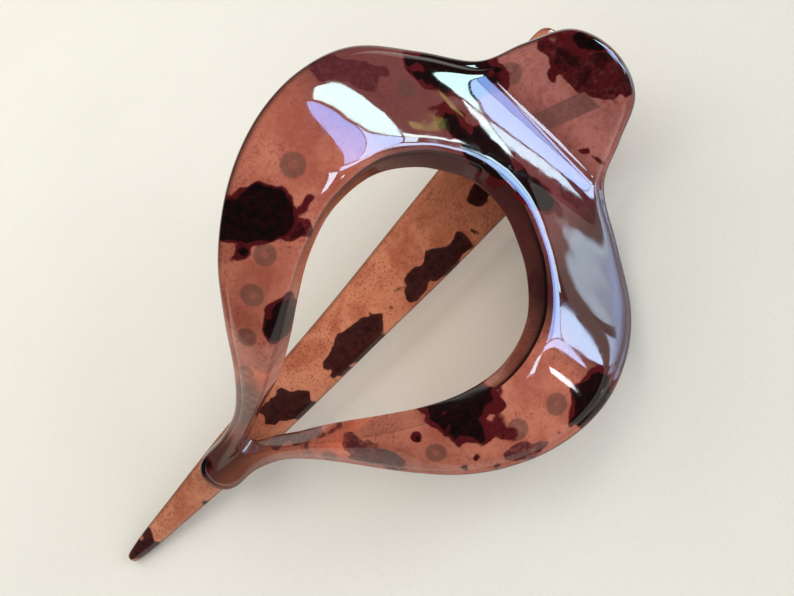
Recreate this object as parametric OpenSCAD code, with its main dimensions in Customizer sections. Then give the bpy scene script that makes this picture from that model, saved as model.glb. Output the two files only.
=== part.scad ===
// A hair clip: an open, heart-shaped loop shell arched over a tapering prong, sprung shut on one hinge pin.
// Clip frame: X runs along the clip from the tip at -1.5 to the lever's end at 119, +Y is the clip's left,
// and Z is up from the line that joins the tip to the lever. At rest the whole clip leans on its right lobe.

/* [Clip] */
// Length from the tip to the lever's end
clip_l = 120.5; // [116:0.5:124]
// Width over the shell's two lobes
clip_w = 63.8; // [60:0.2:67]
// Height of the shell's middle surface at the top of its arch
arch_h = 31.4; // [30:0.2:33]

/* [Shell] */
// Thickness of the shell at its rounded rims
shell_t = 3.4; // [3:0.1:3.6]
// Extra thickness under the flat part of the top face
crown_h = 0.5; // [0:0.1:1.0]
// How far the opening's wall leans back from its lower to its upper edge
wall_lean = 1.0; // [0:0.1:1.2]
// Depth of the groove along the middle of the stem
groove_h = 1.0; // [0:0.1:1.2]

/* [Hinge] */
// Diameter of the hinge pin
pin_d = 1.6; // [1.4:0.1:1.6]
// Radial clearance of the pin in the shell's ears
ear_gap = 0.02; // [0.01:0.01:0.05]
// Radial clearance of the pin in the prong's knuckles
knuckle_gap = 0.06; // [0.02:0.01:0.1]
// Diameter of the spring's wire
wire_d = 0.8; // [0.6:0.1:0.8]

/* [View] */
// Show the clip level in its own frame, not leaning as it lies
level = false;

/* [Hidden] */
sx = clip_l / 120.5;
sy = clip_w / 63.8;
sz = arch_h / 31.4;
shell_r = shell_t / 2;
pin_r = pin_d / 2;
wire_r = wire_d / 2;

// Hinge axis, along the clip and up
HINGE = [103, 7.7];
EAR_R = 1.8;
EAR_Y = [2.5, 4.1];
KNUCKLE_R = 1.9;
KNUCKLE_Y = [4.4, 6.2];

// How the clip lies on a table: turned about X, then about Y, then moved
REST_TURN = [40.2, -2.57];
REST_MOVE = [-58.75, 17.01, 0.09];

// Shell's middle surface. Columns: place along the clip, height
SHELL_ARCH = [
    [18, 6.6], [24, 7.8], [30, 9.6], [36, 13.2], [42, 18.6], [48, 24.2], [54, 28.6], [60, 31.0],
    [66, 31.4], [72, 30.6], [78, 28.6], [84, 25.0], [90, 20.2], [96, 15.4], [101, 12.4],
    [105, 11.6], [110, 12.2], [115, 14.4], [120, 17.4]
];

// Shell's left half, rib by rib from the stem's end to the tab's end.
// Columns: opening's edge along, opening's edge across, outer edge along, outer edge across
RIBS = [
    [33.4, 0.0, 22.2, 0.0], [33.6, 0.5, 22.8, 2.3], [34.2, 0.9, 25.2, 3.8], [36.4, 1.6, 31.0, 4.2],
    [41.3, 3.4, 38.2, 6.5], [47.7, 5.4, 45.2, 11.2], [54.1, 8.4, 51.6, 17.4], [60.0, 11.6, 58.0, 23.4],
    [66.5, 14.6, 66.0, 28.4], [73.0, 16.0, 74.5, 31.2], [80.0, 14.9, 82.9, 31.5], [85.3, 11.0, 90.5, 29.0],
    [88.2, 6.6, 97.2, 22.2], [89.3, 3.8, 103.6, 14.3], [89.6, 2.2, 110.6, 10.9], [89.7, 1.0, 116.5, 7.1],
    [89.7, 0.0, 118.4, 0.0]
];

// Prong and lever in one line. Columns: place along, height of the middle, half width, thickness at the sides
PRONG_LINE = [
    [-1.5, 1.2, 0.7, 0.7], [-1.1, 1.3, 1.0, 1.3], [0, 1.4, 1.3, 1.8], [4, 1.9, 1.9, 2.1], [12, 3.0, 2.6, 2.3],
    [21, 4.0, 3.4, 2.4], [30, 5.0, 4.1, 2.5], [40, 6.1, 4.6, 2.5], [50, 6.9, 5.0, 2.5], [60, 7.3, 5.4, 2.5],
    [70, 7.3, 6.0, 2.5], [80, 6.8, 6.6, 2.5], [90, 5.8, 7.1, 2.5], [100, 4.5, 8.2, 2.5], [108, 3.3, 9.3, 2.5],
    [114, 2.3, 9.9, 2.4], [117, 1.8, 9.8, 2.2], [118.4, 1.6, 9.0, 1.8], [119, 1.5, 7.6, 1.2]
];

RIB_STEPS = 3;
TOP_STEPS = 10;
EDGE_STEPS = 4;
PRONG_STEPS = 2;
FACE_STEPS = 4;
WALL_FULLNESS = 0.45;
RIM_FULLNESS = 0.8;
// How fast the top face flattens, away from its edges
CROWN_ROLL = 0.7;
PRONG_CROWN = 0.15;

// Spring: turns of the coil, its half length and radius, and the ends of its two straight legs
COIL_R = 1.4;
COIL_HALF = 1.75;
COIL_TURNS = 3;
COIL_STEPS = 18;
WIRE_SIDES = 8;
UPPER_ANGLE = 96.6;
LOWER_ANGLE = -101.2;
UPPER_LEG = 7.6;
LOWER_LEG = 9.2;

// Hermite curve through the rows of a table, by a key in the first column
function row_before(t, x, i = 0) = (i >= len(t) - 2 || x < t[i + 1][0]) ? i : row_before(t, x, i + 1);
function slope(t, c, i) =
    let (a = max(i - 1, 0), b = min(i + 1, len(t) - 1)) (t[b][c] - t[a][c]) / (t[b][0] - t[a][0]);
function hermite(p, q, mp, mq, s) =
    (2 * s * s * s - 3 * s * s + 1) * p + (s * s * s - 2 * s * s + s) * mp
    + (3 * s * s - 2 * s * s * s) * q + (s * s * s - s * s) * mq;
function along(t, c, x) =
    let (i = row_before(t, x), w = t[i + 1][0] - t[i][0], s = (x - t[i][0]) / w)
    hermite(t[i][c], t[i + 1][c], slope(t, c, i) * w, slope(t, c, i + 1) * w, s);

// Solid skin over a closed ring of equal sections, and over an open row of them with flat ends
function skin(n, m, last) = [
    for (i = [0 : last]) for (j = [0 : m - 1])
        let (
            a = i * m + j,
            b = i * m + (j + 1) % m,
            c = ((i + 1) % n) * m + (j + 1) % m,
            d = ((i + 1) % n) * m + j
        )
        each [[a, b, c], [a, c, d]]
];
function capped_skin(n, m) = concat(
    skin(n, m, n - 2),
    [[for (j = [m - 1 : -1 : 0]) j]],
    [[for (j = [0 : m - 1]) (n - 1) * m + j]]
);

// Smooth curve through the rows of RIBS, by row number; the right half mirrors the left one
function rib_row(i) =
    let (n = len(RIBS) - 1, w = (i + 2 * n) % (2 * n), k = w > n ? 2 * n - w : w, m = w > n ? -1 : 1)
    [RIBS[k][0], m * RIBS[k][1], RIBS[k][2], m * RIBS[k][3]];
function rib(u) =
    let (i = floor(u), s = u - i, p = rib_row(i), q = rib_row(i + 1))
    hermite(p, q, (q - rib_row(i - 1)) / 2, (rib_row(i + 2) - p) / 2, s);

// Shell's middle surface, its normal, and the groove in the stem's top face
function shell_z(x) = sz * along(SHELL_ARCH, 1, x / sx);
function surface_point(p) = [p[0], p[1], shell_z(p[0])];
function surface_normal(p) =
    let (m = shell_z(p[0] + 0.5) - shell_z(p[0] - 0.5))
    [-m, 0, 1] / sqrt(1 + m * m);
function groove(p) =
    groove_h * exp(-p[1] * p[1] / 1.2) * max(0, min(1, (p[0] - 24) / 6)) * max(0, min(1, (38 - p[0]) / 4));

// One rib's outline, from the top face over the outer edge, back under, and over the opening's edge
function flattening(distance) = 1 - exp(-distance / CROWN_ROLL);
function face_share(k) = (1 - cos(180 * k / TOP_STEPS)) / 2;
function face_point(a, b, v, side) =
    let (
        p = a + v * (b - a),
        l = norm(b - a),
        crown = crown_h * flattening(v * l) * flattening((1 - v) * l),
        swell = side > 0 ? crown - groove(p) : 0
    )
    surface_point(p) + side * (shell_r + swell) * surface_normal(p);
function fuller(v, fullness) = sign(v) * pow(abs(v), fullness);
function edge_point(p, dir, angle, fullness, lean) =
    let (
        n = surface_normal(p),
        d = [dir[0], dir[1], -n[0] / n[2] * dir[0]],
        e = d / norm(d),
        up = fuller(sin(angle), fullness)
    )
    surface_point(p) + (shell_r * fuller(cos(angle), fullness) - lean * (1 + up) / 2) * e + shell_r * up * n;
function rib_section(u) =
    let (
        r = rib(u),
        inner = [sx * r[0], sy * r[1]],
        outer = [sx * r[2], sy * r[3]],
        width = norm(outer - inner),
        dir = (outer - inner) / width,
        lean = min(wall_lean, 0.3 * (width - shell_t)),
        a = inner + shell_r * dir,
        b = outer - shell_r * dir
    )
    [
        for (k = [0 : TOP_STEPS]) face_point(a + lean * dir, b, face_share(k), 1),
        for (k = [1 : EDGE_STEPS - 1])
            edge_point(b, dir, 90 - 180 * k / EDGE_STEPS, RIM_FULLNESS, 0),
        for (k = [TOP_STEPS : -1 : 0]) face_point(a, b, face_share(k), -1),
        for (k = [1 : EDGE_STEPS - 1])
            edge_point(a, -dir, -90 + 180 * k / EDGE_STEPS, WALL_FULLNESS, lean)
    ];

module shell_body() {
    n = 2 * (len(RIBS) - 1) * RIB_STEPS;
    sections = [for (i = [0 : n - 1]) rib_section(i / RIB_STEPS)];
    m = len(sections[0]);
    polyhedron(points = [for (s = sections) each s], faces = skin(n, m, n - 1), convexity = 8);
}

// Plate of a side profile between two places across the clip, on both sides of the middle
module side_plates(span, profile) {
    for (s = [-1, 1])
        translate([0, s * (span[0] + span[1]) / 2, 0])
            rotate([90, 0, 0])
                linear_extrude(height = span[1] - span[0], center = true)
                    polygon(profile);
}

// Round bar on the hinge axis between two places across the clip, on both sides of the middle
module side_rounds(span, r) {
    for (s = [-1, 1])
        translate([HINGE[0], s * (span[0] + span[1]) / 2, HINGE[1]])
            rotate([90, 0, 0])
                cylinder(r = r, h = span[1] - span[0], center = true, $fn = 40);
}

// Bore through everything on the hinge axis
module hinge_bore(r) {
    translate([HINGE[0], 0, HINGE[1]])
        rotate([90, 0, 0])
            cylinder(r = r, h = 2 * KNUCKLE_Y[1] + 2, center = true, $fn = 40);
}

module top_shell() {
    ear = [
        [HINGE[0] - EAR_R, HINGE[1]], [HINGE[0] + 1.1, HINGE[1] - 1.4], [111.6, shell_z(111.6) - 2.2],
        for (x = [111.6, 109, 106.5, 104, 101]) [x, shell_z(x)]
    ];
    color("rosybrown")
        difference() {
            union() {
                shell_body();
                side_rounds(EAR_Y, EAR_R);
                side_plates(EAR_Y, ear);
            }
            hinge_bore(pin_r + ear_gap);
        }
}

// One cross-section of the prong, a flat bar with slightly crowned faces and fully rounded sides
function prong_section(x) =
    let (
        h = along(PRONG_LINE, 1, x),
        w = along(PRONG_LINE, 2, x),
        r = along(PRONG_LINE, 3, x) / 2,
        flat = w - r,
        crown = [for (k = [0 : FACE_STEPS]) PRONG_CROWN * sin(180 * k / FACE_STEPS)]
    )
    [
        for (k = [0 : FACE_STEPS]) [sx * x, -flat + 2 * flat * k / FACE_STEPS, h + r + crown[k]],
        for (k = [1 : EDGE_STEPS - 1])
            let (g = 90 - 180 * k / EDGE_STEPS) [sx * x, flat + r * cos(g), h + r * sin(g)],
        for (k = [0 : FACE_STEPS]) [sx * x, flat - 2 * flat * k / FACE_STEPS, h - r - crown[k]],
        for (k = [1 : EDGE_STEPS - 1])
            let (g = -90 - 180 * k / EDGE_STEPS) [sx * x, -flat + r * cos(g), h + r * sin(g)]
    ];

module prong_body() {
    last = len(PRONG_LINE) - 1;
    places = [
        for (i = [0 : last - 1]) for (k = [0 : PRONG_STEPS - 1])
            PRONG_LINE[i][0] + (PRONG_LINE[i + 1][0] - PRONG_LINE[i][0]) * k / PRONG_STEPS,
        PRONG_LINE[last][0]
    ];
    sections = [for (x = places) prong_section(x)];
    polyhedron(
        points = [for (s = sections) each s],
        faces = capped_skin(len(sections), len(sections[0])),
        convexity = 4
    );
}

module prong() {
    knuckle = [
        [100.2, along(PRONG_LINE, 1, 100.2)], [106, along(PRONG_LINE, 1, 106)],
        [HINGE[0] + KNUCKLE_R - 0.05, HINGE[1] - 0.4], [HINGE[0] - KNUCKLE_R + 0.05, HINGE[1] - 0.4]
    ];
    color("sienna")
        difference() {
            union() {
                prong_body();
                side_rounds(KNUCKLE_Y, KNUCKLE_R);
                side_plates(KNUCKLE_Y, knuckle);
            }
            hinge_bore(pin_r + knuckle_gap);
        }
}

module hinge_pin() {
    color("silver")
        translate([HINGE[0], 0, HINGE[1]])
            rotate([90, 0, 0])
                cylinder(r = pin_r, h = 2 * KNUCKLE_Y[1] - 0.2, center = true, $fn = 40);
}

// Wire's centre line: lower leg, coil about the pin, upper leg
function coil_point(angle, y) = [HINGE[0] + COIL_R * cos(angle), y, HINGE[1] + COIL_R * sin(angle)];
function spring_line() =
    let (
        sweep = 360 * (COIL_TURNS + 1) - (UPPER_ANGLE - LOWER_ANGLE),
        n = round(sweep / 360 * COIL_STEPS),
        low = coil_point(LOWER_ANGLE, -COIL_HALF),
        high = coil_point(UPPER_ANGLE, COIL_HALF)
    )
    [
        low + LOWER_LEG * [-sin(LOWER_ANGLE), 0, cos(LOWER_ANGLE)],
        for (i = [0 : n]) coil_point(LOWER_ANGLE - sweep * i / n, COIL_HALF * (2 * i / n - 1)),
        high + UPPER_LEG * [sin(UPPER_ANGLE), 0, -cos(UPPER_ANGLE)]
    ];
function wire_section(line, i) =
    let (
        n = len(line),
        step = line[min(i + 1, n - 1)] - line[max(i - 1, 0)],
        t = step / norm(step),
        side = cross(t, [0, 1, 0]),
        u = side / norm(side),
        v = cross(u, t)
    )
    [for (k = [0 : WIRE_SIDES - 1])
        let (g = 360 * k / WIRE_SIDES) line[i] + wire_r * (cos(g) * u + sin(g) * v)];

module torsion_spring() {
    line = spring_line();
    sections = [for (i = [0 : len(line) - 1]) wire_section(line, i)];
    color("silver")
        polyhedron(
            points = [for (s = sections) each s],
            faces = capped_skin(len(sections), WIRE_SIDES),
            convexity = 6
        );
}

module resting() {
    translate(level ? [0, 0, 0] : REST_MOVE)
        rotate([0, level ? 0 : REST_TURN[1], 0])
            rotate([level ? 0 : REST_TURN[0], 0, 0])
                children();
}

resting() top_shell();
resting() prong();
resting() hinge_pin();
resting() torsion_spring();
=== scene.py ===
# A sprung hair clip of tortoise-look plastic: open loop shell, prong, hinge ears, pin and spring.
# The shell and its ears are modelled level, in millimetres along, across and up the clip, then laid down.
# The prong and the spring start from copies of their nodes' meshes, which already lie as the clip does.

import math

import bmesh
import bpy
from mathutils import Euler, Matrix, Vector


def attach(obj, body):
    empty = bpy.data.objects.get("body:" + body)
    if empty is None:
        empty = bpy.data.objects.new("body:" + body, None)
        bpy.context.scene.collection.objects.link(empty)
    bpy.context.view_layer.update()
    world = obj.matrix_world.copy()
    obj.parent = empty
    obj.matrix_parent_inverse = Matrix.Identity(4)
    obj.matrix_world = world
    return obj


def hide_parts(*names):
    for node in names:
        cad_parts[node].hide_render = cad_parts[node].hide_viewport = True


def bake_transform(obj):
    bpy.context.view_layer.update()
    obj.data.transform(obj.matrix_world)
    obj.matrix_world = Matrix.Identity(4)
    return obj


bl_info = {
    "name": "Sprung hair clip",
    "version": (1, 0, 0),
    "blender": (4, 5, 0),
    "location": "View3D > Sidebar > Hair Clip",
    "description": "Models a sprung hair clip in tortoise-look plastic and the stage it lies on",
    "category": "Object",
}

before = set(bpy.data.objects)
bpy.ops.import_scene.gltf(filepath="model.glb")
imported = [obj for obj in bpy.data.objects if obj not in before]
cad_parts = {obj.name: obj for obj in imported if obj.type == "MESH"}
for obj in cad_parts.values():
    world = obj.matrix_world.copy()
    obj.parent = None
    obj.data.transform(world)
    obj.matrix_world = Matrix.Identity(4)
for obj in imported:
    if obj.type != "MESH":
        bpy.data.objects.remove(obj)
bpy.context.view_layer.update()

MM = 0.001

# How the level clip is turned and moved to lie on its right lobe
REST_TURN = (math.radians(40.2), math.radians(-2.57), 0.0)
REST_MOVE = (-58.75 * MM, 17.01 * MM, 0.09 * MM)

# Shell's middle surface. Columns: place along the clip, height
SHELL_ARCH = (
    (18, 6.6), (24, 7.8), (30, 9.6), (36, 13.2), (42, 18.6), (48, 24.2), (54, 28.6), (60, 31.0),
    (66, 31.4), (72, 30.6), (78, 28.6), (84, 25.0), (90, 20.2), (96, 15.4), (101, 12.4),
    (105, 11.6), (110, 12.2), (115, 14.4), (120, 17.4),
)

# Shell's left half, rib by rib from the stem's end to the tab's end.
# Columns: opening's edge along, opening's edge across, outer edge along, outer edge across
RIBS = (
    (33.4, 0.0, 22.2, 0.0), (33.6, 0.5, 22.8, 2.3), (34.2, 0.9, 25.2, 3.8), (36.4, 1.6, 31.0, 4.2),
    (41.3, 3.4, 38.2, 6.5), (47.7, 5.4, 45.2, 11.2), (54.1, 8.4, 51.6, 17.4), (60.0, 11.6, 58.0, 23.4),
    (66.5, 14.6, 66.0, 28.4), (73.0, 16.0, 74.5, 31.2), (80.0, 14.9, 82.9, 31.5), (85.3, 11.0, 90.5, 29.0),
    (88.2, 6.6, 97.2, 22.2), (89.3, 3.8, 103.6, 14.3), (89.6, 2.2, 110.6, 10.9), (89.7, 1.0, 116.5, 7.1),
    (89.7, 0.0, 118.4, 0.0),
)

# Prong. Columns: place along the clip, half width
PRONG_WIDTH = (
    (-1.5, 0.7), (0, 1.3), (4, 1.9), (12, 2.6), (21, 3.4), (30, 4.1), (40, 4.6), (50, 5.0), (60, 5.4),
    (70, 6.0), (80, 6.6), (90, 7.1), (100, 8.2), (108, 9.3), (114, 9.9), (117, 9.8), (119, 7.6),
)

# Points of a rib's outline on the top face, the outer edge, the under face and the opening's wall
TOP_POINTS = 25
EDGE_POINTS = 11
UNDER_POINTS = 9
WALL_POINTS = 13

# How round the corners of the opening's wall and of the outer rim are: the lower, the squarer
WALL_FULLNESS = 0.28
RIM_FULLNESS = 0.8

# Share of the painted shade on the opening's wall at its foot; at its crest the share is one
WALL_SHADE_FOOT = 0.45

# Angle round the wall's corner at which the top face takes over
WALL_TOP = math.radians(66)

# Groove in the stem's top: where it starts and ends along the clip, how far each end takes to fade,
# and the square of its half width
GROOVE_ENDS = (24, 38)
GROOVE_FADES = (6, 4)
GROOVE_WIDTH_SQUARED = 1.2

# Fold at the tab's root: its middle and its width along the clip
FOLD_MIDDLE = 106
FOLD_WIDTH = 3.5

# Ridge across the neck: where it rises and where it falls, along the clip
RIDGE_RISE = (93.6, 100.6)
RIDGE_FALL = (107, 119)

# Hinge axis along and up, and the ears' span across
HINGE = (103.0, 7.7)
EAR_SPAN = (2.5, 4.1)

# An ear's block before it is cut: middle along and up, then length and height
EAR_BLOCK = (106.35, 8.9, 10.5, 5.2)

# Planes that cut an ear's block: a place on each, and the way to the part that goes
EAR_CUTS = (
    ((104.1, 0, 6.3), (4.4, 0, -7.5)),
    ((101.2, 0, 7.7), (-1.4, 0, -2.9)),
)

# Where the prong's knuckles stand: from and to along the clip, and least distance from the middle
KNUCKLES = (98, 108.5, 4)

# Width of the painted shade along the prong's sides
PRONG_RIM_SHADE_WIDTH = 0.9

# Zones in which the shell's tones and its painted shade pass into each other, along and across the level
# clip. Towards the neck, fading again over the tab's root, lie painted shade and thicker red grain; the
# lobe, wall and crest zones carry painted shade only
STEM_ALONG = (28.0, 44.0)
STEM_ACROSS = (-2.4, 1.2)
NECK_ALONG = (76.5, 86.0)
TAB_ROOT_ALONG = (101.0, 107.0)
TAB_ALONG = (101.0, 108.0)
LOBE_SHADE_ALONG = (77.0, 83.5)
LOBE_SHADE_ACROSS = (-16.0, -9.0)
WALL_SHADE_ALONG = (58.0, 84.0)
CREST_SHADE_ALONG = (62.0, 70.0)
CREST_SHADE_ACROSS = (-12.0, -5.0)

# Shadow of the right ear in the tab: middle along, where it crosses the middle line, and slant,
# then where its soft edge starts and ends, away from its middle, along and across
EAR_SHADOW = (107.2, 105.4, 0.42)
EAR_SHADOW_ALONG = (3.6, 4.2)
EAR_SHADOW_ACROSS = (1.6, 1.9)

# Distance into the nearest patch that a place far outside all of them is given
FAR_OUTSIDE = -6.0

# Near-black cloudy patches moulded into the shell.
# Columns: place along, place across, half length, half width, turn in degrees
SHELL_DARK = (
    (65.6, 22.4, 4.6, 3.8, -14), (62.4, 24.6, 3.4, 2.6, 0), (60.4, 21.4, 1.7, 1.0, -20),
    (70.4, 19.3, 1.1, 0.8, 0), (57.0, 11.6, 3.4, 2.3, 12), (99.6, 15.9, 8.4, 4.2, -52),
    (93.4, 3.8, 3.6, 6.0, 0), (93.8, -3.6, 2.4, 6.4, 4), (93.0, 10.6, 2.0, 4.4, 8),
    (64.4, -14.8, 6.0, 2.8, -27), (62.4, -17.0, 3.1, 2.5, -60), (77.6, -28.8, 5.4, 3.4, -10),
    (57.0, -13.1, 0.8, 0.7, 0), (58.5, -21.1, 0.4, 0.4, 0), (60.0, -21.2, 0.35, 0.35, 0),
    (24.4, 3.2, 2.6, 2.0, 30), (105.2, -8.9, 0.35, 1.8, 12), (115.8, 4.4, 5.6, 1.5, -58),
    (109.9, 4.8, 1.5, 0.9, -60),
)

# Burgundy stains in the shell, in the same columns
SHELL_RED = (
    (114.2, 1.2, 8.0, 3.9, -69), (67.0, 18.4, 2.6, 1.2, -40), (65.4, -20.2, 1.6, 2.2, 20),
)

# Purple-brown stains in the shell, in the same columns
SHELL_STAINS = (
    (87.4, 26.8, 5.4, 2.0, -56), (49.8, -10.8, 5.0, 2.0, -60), (65.6, -25.9, 4.0, 1.2, -21),
    (99.2, -10.8, 2.0, 4.0, 16), (84.0, -13.6, 2.4, 1.0, 60), (39.6, -2.6, 5.0, 0.9, -28),
)

# Grey, washed-out places in the shell, in the same columns
SHELL_GREY = (
    (41.0, 6.2, 6.6, 3.0, 26), (41.9, -5.2, 0.6, 1.9, -10),
)

# Dark patches in the prong, in the same columns
PRONG_DARK = (
    (2.6, 0.2, 4.0, 1.9, 0), (20.0, -3.4, 3.6, 1.0, -12), (41.4, -1.6, 4.8, 3.0, -40),
    (57.2, -2.6, 6.8, 3.2, -4), (76.2, -3.6, 7.6, 2.3, -7), (89.5, -1.0, 3.0, 1.6, 0),
)

# Places in the prong with thick red grain, in the same columns
PRONG_RED = (
    (52.0, 2.0, 8.0, 3.4, 0), (66.0, 3.4, 5.0, 2.0, 0), (33.0, 0.6, 4.0, 2.4, 0),
)

# Round marks that the mould's ejector pins left in the underside. Columns: along, across, radius
EJECTOR_MARKS = (
    (73.2, 23.7, 1.8), (57.0, 16.6, 1.7), (51.6, 13.3, 1.5), (46.6, 9.8, 1.3), (91.6, 19.6, 1.4),
    (62.3, 18.8, 1.6), (105.2, 9.5, 1.9), (44.1, -8.3, 1.2), (51.5, -13.3, 1.4), (56.9, -16.7, 1.6),
    (67.0, -22.5, 1.7), (73.2, -24.6, 1.7),
)

# Duller tone in the steel, and the worktop's grains
WORN_STEEL = (0.30, 0.29, 0.28)
GRAIN_TONE = (0.45, 0.42, 0.38)

# Worktop's size, and the middle of its polished part, beside the right lobe.
# The polish fades between two distances from there, in millimetres
FLOOR_SIZE = 6.0
POLISHED_PLACE = (75.4 * MM, -29.8 * MM, 0.0)
POLISH_FADES = (40.0, 75.0)

# Colour of the even light all round
ROOM_TONE = (1.0, 0.985, 0.955)

# Window's panes on a plane that faces the clip, for each metre of its distance.
# Columns: middle sideways and up, width and height, colour, share of the brightness
WINDOW_DISTANCE = 3.0
WINDOW_TURN = (math.radians(70.5), 0, math.radians(70))
WINDOW_PANES = (
    (0.189, -0.003, 0.145, 0.322, (0.66, 0.98, 0.96), 1.0),
    (-0.094, 0.126, 0.377, 0.196, (0.26, 0.46, 1.0), 0.8),
    (-0.101, -0.073, 0.405, 0.187, (0.42, 0.62, 1.0), 1.0),
    (-0.354, 0.030, 0.083, 0.448, (0.46, 0.62, 1.0), 0.9),
    (0.1545, -0.232, 0.059, 0.108, (0.80, 0.98, 1.0), 0.9),
    (0.027, -0.212, 0.185, 0.065, (0.62, 0.84, 1.0), 0.85),
    (-0.220, -0.258, 0.188, 0.164, (0.52, 0.70, 1.0), 0.9),
    (-0.530, 0.340, 0.300, 0.130, (0.62, 0.80, 1.0), 0.9),
    (-0.631, 0.023, 0.060, 0.075, (0.90, 0.95, 1.0), 1.0),
    (0.277, -0.270, 0.035, 0.050, (0.80, 0.86, 0.22), 0.16),
)

# Lamp that casts the window's light: how far behind the panes it stands, its middle and size
# in the panes' way, and its colour
CAST_BEHIND = 0.2
CAST_LIGHT = (-0.1, 0.0, 0.9, 0.5)
CAST_TONE = (0.90, 0.95, 1.0)

# Large soft light: how it is turned, its distance, its size for each metre of that, and its colour
SOFT_TURN = (math.radians(45), 0, math.radians(200))
SOFT_DISTANCE = 0.7
SOFT_SIZE = 0.9
SOFT_TONE = (1.0, 0.94, 0.84)

# Warm glow under the shell's arch: middle on the level clip, size, and colour
GLOW_PLACE = (62, 0, 27)
GLOW_SIZE = (40, 20)
GLOW_TONE = (1.0, 0.52, 0.24)


def tuple_mm(*values):
    """Millimetres as metres"""
    return tuple(v * MM for v in values)


def rest_matrix():
    """Turn and move from the level clip to the clip as it lies"""
    return Matrix.Translation(REST_MOVE) @ Euler(REST_TURN, "XYZ").to_matrix().to_4x4()


def at_rest(along, across, up):
    """A place on the level clip in millimetres, as it lies, in metres"""
    return rest_matrix() @ Vector(tuple_mm(along, across, up))


# Selecting and finishing


def clear_selection():
    """Leaves edit mode and selects nothing"""
    if bpy.context.object and bpy.context.object.mode != "OBJECT":
        bpy.ops.object.mode_set(mode="OBJECT")
    bpy.ops.object.select_all(action="DESELECT")


def pick(*pieces):
    """Selects these pieces only; the first is the active one"""
    clear_selection()
    for piece in pieces:
        piece.select_set(True)
    bpy.context.view_layer.objects.active = pieces[0]


def edit(piece, kind="VERT", action="DESELECT"):
    """Opens a piece in edit mode with nothing selected, or with everything"""
    pick(piece)
    bpy.ops.object.mode_set(mode="EDIT")
    bpy.ops.mesh.select_mode(type=kind)
    bpy.ops.mesh.select_all(action=action)
    return bmesh.from_edit_mesh(piece.data)


def close_edit(piece):
    """Keeps what edit mode changed and leaves it"""
    bmesh.update_edit_mesh(piece.data)
    bpy.ops.object.mode_set(mode="OBJECT")


def apply_modifier(piece, kind, **values):
    """Adds a modifier to a piece and applies it"""
    pick(piece)
    modifier = piece.modifiers.new(kind.title(), kind)
    for name, value in values.items():
        setattr(modifier, name, value)
    bpy.ops.object.modifier_apply(modifier=modifier.name)


def face_outwards(piece):
    """Turns all faces of a closed piece outwards"""
    edit(piece, action="SELECT")
    bpy.ops.mesh.normals_make_consistent(inside=False)
    close_edit(piece)


def lay_down(piece):
    """Turns a level piece to the way the clip lies, with its place in its mesh"""
    pick(piece)
    piece.matrix_world = rest_matrix()
    bpy.ops.object.transform_apply(location=True, rotation=True, scale=True)


def finish_piece(piece, name, body, slot, material, *nodes):
    """Names a piece, gives it its material, and hangs it on its body in place of its nodes"""
    piece.name = name
    piece.data.name = name
    piece.data.materials.clear()
    piece.data.materials.append(material)
    if body:
        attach(piece, body)
    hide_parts(*nodes)


# Curves through the tables, and shares between nothing and one


def hermite(p, q, slope_p, slope_q, s):
    """Smooth curve from p to q with a slope at each end, at the share s of the way"""
    s2 = s * s
    s3 = s2 * s
    return (
        (2 * s3 - 3 * s2 + 1) * p + (s3 - 2 * s2 + s) * slope_p
        + (3 * s2 - 2 * s3) * q + (s3 - s2) * slope_q
    )


def table_slope(table, column, i):
    """Slope of one column of a table at row i, from the rows beside it"""
    before = table[max(i - 1, 0)]
    after = table[min(i + 1, len(table) - 1)]
    return (after[column] - before[column]) / (after[0] - before[0])


def along_table(table, column, x):
    """Smooth curve through one column of a table, by the place in its first column"""
    i = 0
    while i < len(table) - 2 and x >= table[i + 1][0]:
        i += 1
    width = table[i + 1][0] - table[i][0]
    s = (x - table[i][0]) / width
    slope_p = table_slope(table, column, i) * width
    slope_q = table_slope(table, column, i + 1) * width
    return hermite(table[i][column], table[i + 1][column], slope_p, slope_q, s)


def rib_row(i):
    """A row of RIBS all round the loop; the right half mirrors the left one"""
    last = len(RIBS) - 1
    i = i % (2 * last)
    if i <= last:
        return RIBS[i]
    along_in, across_in, along_out, across_out = RIBS[2 * last - i]
    return (along_in, -across_in, along_out, -across_out)


def rib(u):
    """Opening's edge and outer edge of the rib at row number u"""
    i = math.floor(u)
    rows = [rib_row(i + k) for k in (-1, 0, 1, 2)]
    values = []
    for before, p, q, after in zip(*rows):
        values.append(hermite(p, q, (q - before) / 2, (after - p) / 2, u - i))
    return Vector(values[:2]), Vector(values[2:])


def shell_height(x):
    """Height of the shell's middle surface at a place along the clip"""
    return along_table(SHELL_ARCH, 1, x)


def surface_point(p):
    """Point on the shell's middle surface over or under a flat place"""
    return Vector((p[0], p[1], shell_height(p[0])))


def surface_normal(p):
    """Upward normal of the shell's middle surface at a flat place"""
    slope = shell_height(p[0] + 0.5) - shell_height(p[0] - 0.5)
    return Vector((-slope, 0, 1)).normalized()


def fuller(v, fullness):
    """Sine or cosine of a rounder or squarer corner: the lower the fullness, the squarer"""
    return math.copysign(abs(v) ** fullness, v)


def unit_clamp(v):
    """Keeps a value between nothing and one"""
    return max(0.0, min(1.0, v))


def soft_ramp(x, start, end):
    """Rises evenly from nothing at the start to one at the end, with soft corners"""
    soft = 0.6
    before = soft * math.log1p(math.exp((x - start) / soft))
    after = soft * math.log1p(math.exp((x - end) / soft))
    return (before - after) / (end - start)


# Nodes of the materials and of the effects that they share

FLOAT = "NodeSocketFloat"
COLOUR = "NodeSocketColor"
VECTOR = "NodeSocketVector"


def add_node(tree, kind, **settings):
    """Adds a node of one kind and sets its settings"""
    node = tree.nodes.new(kind)
    for name, value in settings.items():
        setattr(node, name, value)
    return node


def feed(tree, target, source):
    """Links a source socket to a target socket, or sets the target's constant value"""
    if isinstance(source, bpy.types.NodeSocket):
        tree.links.new(source, target)
    else:
        target.default_value = source


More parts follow.
